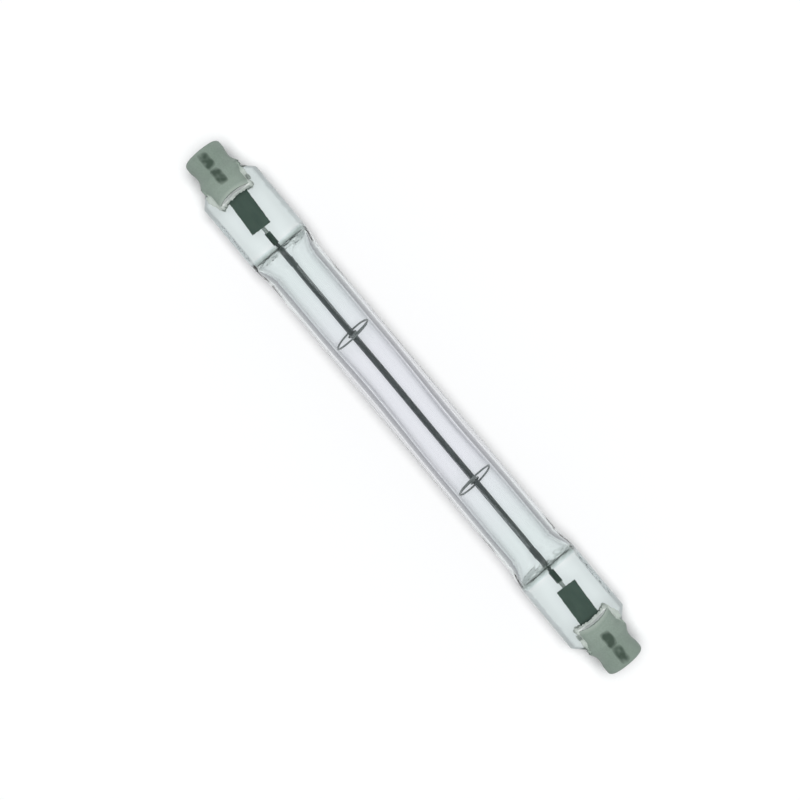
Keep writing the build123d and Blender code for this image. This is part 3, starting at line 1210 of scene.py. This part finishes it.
def makeFloor():
    # White paper: matt, with a soft shade; through glass it shines as a light table.
    spec = stageSpec
    deselect()
    bpy.ops.mesh.primitive_plane_add(size=spec["floorSize"], location=(0, 0, cadBox[0][2]))
    floor = takeNew("floor")
    material, tree = newTree("whiteFloor")
    place, axes, outX, outY = lampPlace(tree)
    # the caps stand clear of the floor, and their soft shade is helped a little with painted shadow:
    # ambient occlusion darkens the floor's colour near the caps
    closeness = addNode(tree, "AmbientOcclusion", {
        "samples": spec["shadeSamples"], "Distance": spec["shadeReach"],
    }, {})
    atCaps = addNode(tree, "MapRange", {(1, 2): spec["shadeFrom"]}, {0: outX})
    shade = addNode(tree, "Mix", {
        "data_type": "RGBA", 6: linear("ffffff"),
    }, {0: atCaps.outputs[0], 7: closeness.outputs["Color"]})
    paper = addNode(tree, "Mix", {
        "data_type": "RGBA", "blend_type": "MULTIPLY", 0: 1.0, 6: linear(spec["floorColour"]),
    }, {7: shade.outputs[2]})
    matt = addNode(tree, "BsdfDiffuse", {}, {"Color": paper.outputs[2]})
    path = addNode(tree, "LightPath", {}, {})
    seen = path.outputs["Is Camera Ray"]
    for ray in ("Is Glossy Ray", "Is Transmission Ray"):
        seen = addNode(tree, "Math", {"operation": "ADD", "use_clamp": True}, {
            0: seen, 1: path.outputs[ray],
        }).outputs[0]
    lift = addNode(tree, "Math", {"operation": "MULTIPLY", 1: spec["floorLift"]}, {0: seen})
    glow = addNode(tree, "Emission", {}, {"Strength": lift.outputs[0]})
    both = addNode(tree, "AddShader", {}, {0: matt.outputs[0], 1: glow.outputs[0]})
    # through glass the strip under the tube is partly self-lit, as a light table that shines straight up
    white = addNode(tree, "Emission", {"Strength": spec["tableWhite"]}, {})
    atSeals = addNode(tree, "MapRange", {(1, 2): spec["sealsFrom"]}, {0: outX})
    stripEdge = addNode(tree, "MapRange", {(3, 4): spec["tableHalf"]}, {0: atSeals.outputs[0]})
    stripShare = addNode(tree, "MapRange", {(3, 4): spec["tableShare"]}, {0: atSeals.outputs[0]})
    strip = addNode(tree, "MapRange", {2: spec["tableEnd"], 4: 0.0}, {
        0: outY, 1: stripEdge.outputs[0], 3: stripShare.outputs[0],
    })
    selfLit = addNode(tree, "Math", {"operation": "MULTIPLY"}, {
        0: strip.outputs[0], 1: path.outputs["Is Transmission Ray"],
    })
    lit = addNode(tree, "MixShader", {}, {0: selfLit.outputs[0], 1: both.outputs[0], 2: white.outputs[0]})
    # and it is dimmer seen aslant, which draws the glass walls
    slant = addNode(tree, "LayerWeight", {"Blend": spec["slantBlend"]}, {}).outputs["Facing"]
    pinched = addNode(tree, "MapRange", {(1, 2): spec["pinchFrom"]}, {0: outX})
    nearFrom = addNode(tree, "MapRange", {(3, 4): spec["nearFrom"]}, {0: pinched.outputs[0]})
    nearTo = addNode(tree, "MapRange", {(3, 4): spec["nearTo"]}, {0: pinched.outputs[0]})
    near = addNode(tree, "MapRange", {4: spec["nearDim"]}, {
        0: slant, 1: nearFrom.outputs[0], 2: nearTo.outputs[0],
    })
    far = addNode(tree, "MapRange", {(1, 2): spec["farSlant"], 4: spec["farDim"]}, {0: slant})
    bothSlants = addNode(tree, "Math", {"operation": "ADD"}, {0: near.outputs[0], 1: far.outputs[0]})
    grazing = addNode(tree, "MapRange", {
        (1, 2): spec["grazingSlant"], 3: 1.0, 4: spec["grazingShare"],
    }, {0: slant})
    inWall = addNode(tree, "Math", {"operation": "LESS_THAN", 1: spec["wallDepth"]}, {
        0: path.outputs["Transmission Depth"],
    })
    steep = addNode(tree, "MapRange", {(1, 2): spec["steepSlant"], 3: 1.0, 4: 0.0}, {0: slant})
    gate = addNode(tree, "Math", {"operation": "MAXIMUM"}, {0: inWall.outputs[0], 1: steep.outputs[0]})
    limit = addNode(tree, "MapRange", {
        (1, 2): spec["limitFrom"], (3, 4): spec["limitHalf"],
    }, {0: outX})
    share = addNode(tree, "Math", {"operation": "DIVIDE"}, {0: outY, 1: limit.outputs[0]})
    under = addNode(tree, "MapRange", {(1, 2): spec["limitFade"], 3: 1.0, 4: 0.0}, {0: share.outputs[0]})
    weak = addNode(tree, "MapRange", {(3, 4): spec["dimShare"]}, {0: atSeals.outputs[0]})
    dim = path.outputs["Is Transmission Ray"]
    for factor in (bothSlants, grazing, gate, under, weak):
        dim = addNode(tree, "Math", {"operation": "MULTIPLY"}, {
            0: dim, 1: factor.outputs[0],
        }).outputs[0]
    dark = addNode(tree, "Emission", {"Color": linear(spec["tableDark"])}, {})
    table = addNode(tree, "MixShader", {}, {0: dim, 1: lit.outputs[0], 2: dark.outputs[0]})
    addNode(tree, "OutputMaterial", {}, {"Surface": table.outputs[0]})
    dress(floor, material)


def makeRoom():
    # pale walls and a darker ceiling, white to the camera and paler through glass
    spec = stageSpec
    world = bpy.data.worlds.new("softRoom")
    bpy.context.scene.world = world
    world.use_nodes = True
    tree = world.node_tree
    tree.nodes.clear()
    place = addNode(tree, "TexCoord", {}, {})
    axes = addNode(tree, "SeparateXYZ", {}, {0: place.outputs["Generated"]})
    rise = addNode(tree, "MapRange", {(1, 2): spec["roomRise"]}, {0: axes.outputs[2]})
    room = addNode(tree, "Mix", {
        "data_type": "RGBA", 6: linear(spec["roomSide"]), 7: linear(spec["roomTop"]),
    }, {0: rise.outputs[0]})
    higher = addNode(tree, "MapRange", {(1, 2): spec["glassRise"]}, {0: axes.outputs[2]})
    glassRoom = addNode(tree, "Mix", {
        "data_type": "RGBA", 6: linear(spec["wallInGlass"]), 7: linear(spec["roomInGlass"]),
    }, {0: higher.outputs[0]})
    path = addNode(tree, "LightPath", {}, {})
    inGlass = addNode(tree, "Mix", {"data_type": "RGBA"}, {
        0: path.outputs["Is Transmission Ray"], 6: room.outputs[2], 7: glassRoom.outputs[2],
    })
    shown = addNode(tree, "Mix", {"data_type": "RGBA", 7: linear("ffffff")}, {
        0: path.outputs["Is Camera Ray"], 6: inGlass.outputs[2],
    })
    sky = addNode(tree, "Background", {}, {"Color": shown.outputs[2]})
    addNode(tree, "OutputWorld", {}, {"Surface": sky.outputs[0]})


def hangLamp():
    spec = stageSpec
    deselect()
    bpy.ops.object.light_add(type="SUN", location=spec["lampPlace"])
    lamp = bpy.context.active_object
    lamp.name = "overheadLamp"
    lamp.data.energy = math.pi * spec["lampLevel"]  # at level 1 white paper renders white
    lamp.data.angle = math.radians(spec["lampSpread"])
    lamp.visible_glossy = False
    lamp.visible_transmission = False


makeFloor()
makeRoom()
hangLamp()

cameraSpec = {
    "place": (-0.002545, -0.001009, 0.340),
    "turn": 50.09,
    "lens": 86.38,
    "sensor": 36,
    "clipStart": 0.01,
}
deselect()
bpy.ops.object.camera_add(
    location=cameraSpec["place"],
    rotation=(0, 0, math.radians(cameraSpec["turn"])),
)
camera = bpy.context.active_object
camera.data.sensor_width = cameraSpec["sensor"]
camera.data.lens = cameraSpec["lens"]
camera.data.clip_start = cameraSpec["clipStart"]
bpy.context.scene.camera = camera
bpy.context.scene.view_settings.view_transform = "Standard"
print("stage, lamp and camera set")
